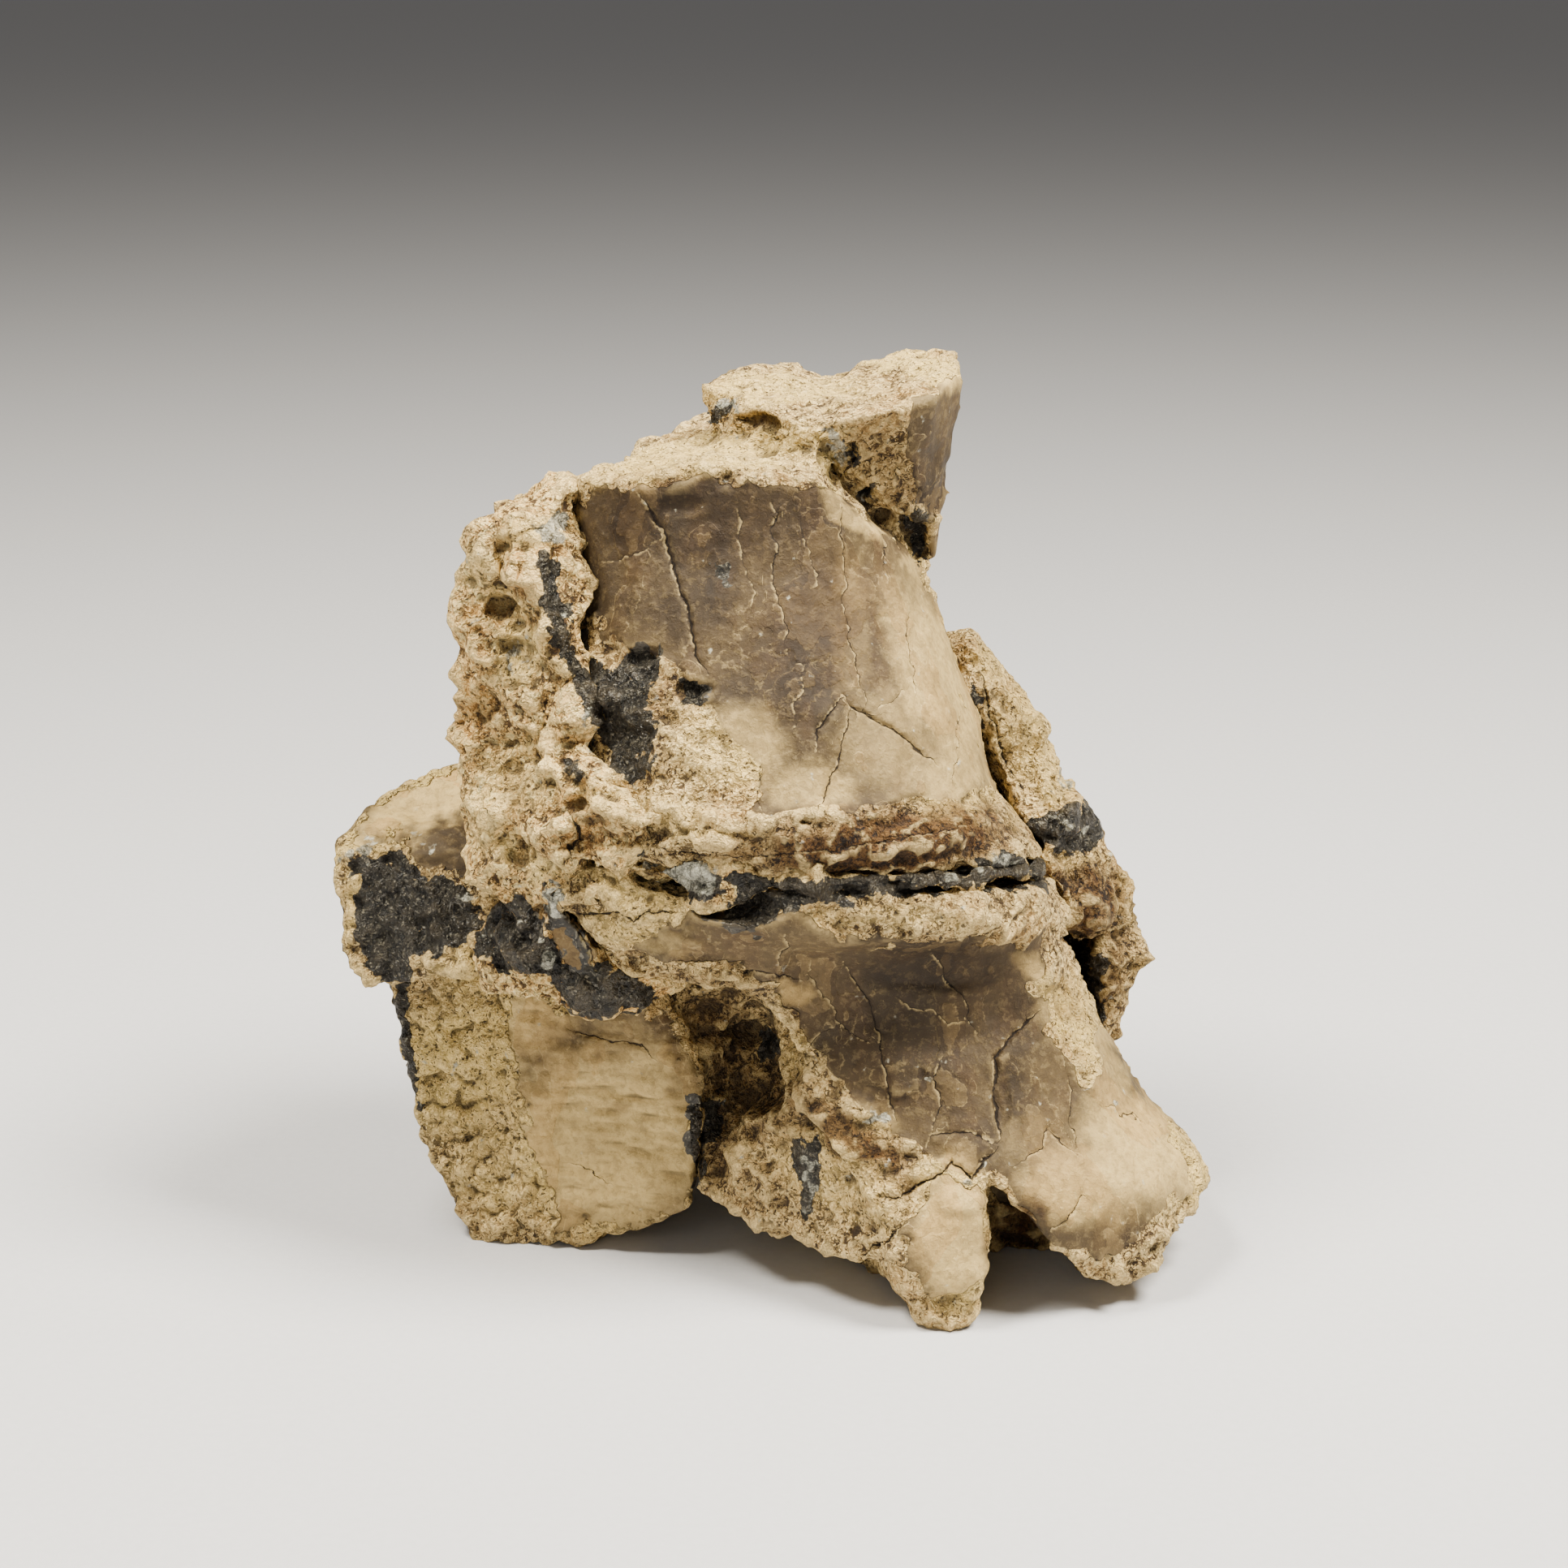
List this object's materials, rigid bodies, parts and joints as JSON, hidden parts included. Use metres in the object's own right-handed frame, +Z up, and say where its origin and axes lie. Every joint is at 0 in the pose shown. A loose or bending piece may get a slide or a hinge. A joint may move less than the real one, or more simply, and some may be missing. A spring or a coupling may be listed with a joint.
{
  "type": "ichthyosaur bone fossil",
  "caption": "Ichthyosaur bone fossil: two vertebrae end on end with broken bones and rock matrix cemented round them, standing on its own feet.",
  "frame": {"origin": "middle of the footprint on the surface that the fossil stands on", "axes": "+Z up; -Y towards the show side with the two smooth vertebra walls; +X towards the foot of the lower vertebra"},
  "size_m": [0.1078, 0.0702, 0.1088],
  "materials": {
    "fossil_bone": "mineralised bone: smooth tan wall with hairline cracks and brown and black mineral stains",
    "broken_bone": "broken cancellous bone, rough tan with a dark mineral crust",
    "rock_matrix": "crumbly orange-tan rock with pores, pale patches and glossy black mineral lumps"
  },
  "bodies": {
    "root": {"upper_vertebra": "fossil_bone", "lower_vertebra": "fossil_bone", "left_bone": "fossil_bone", "right_bone": "broken_bone", "rock_matrix": "rock_matrix"}
  },
  "joints": []
}
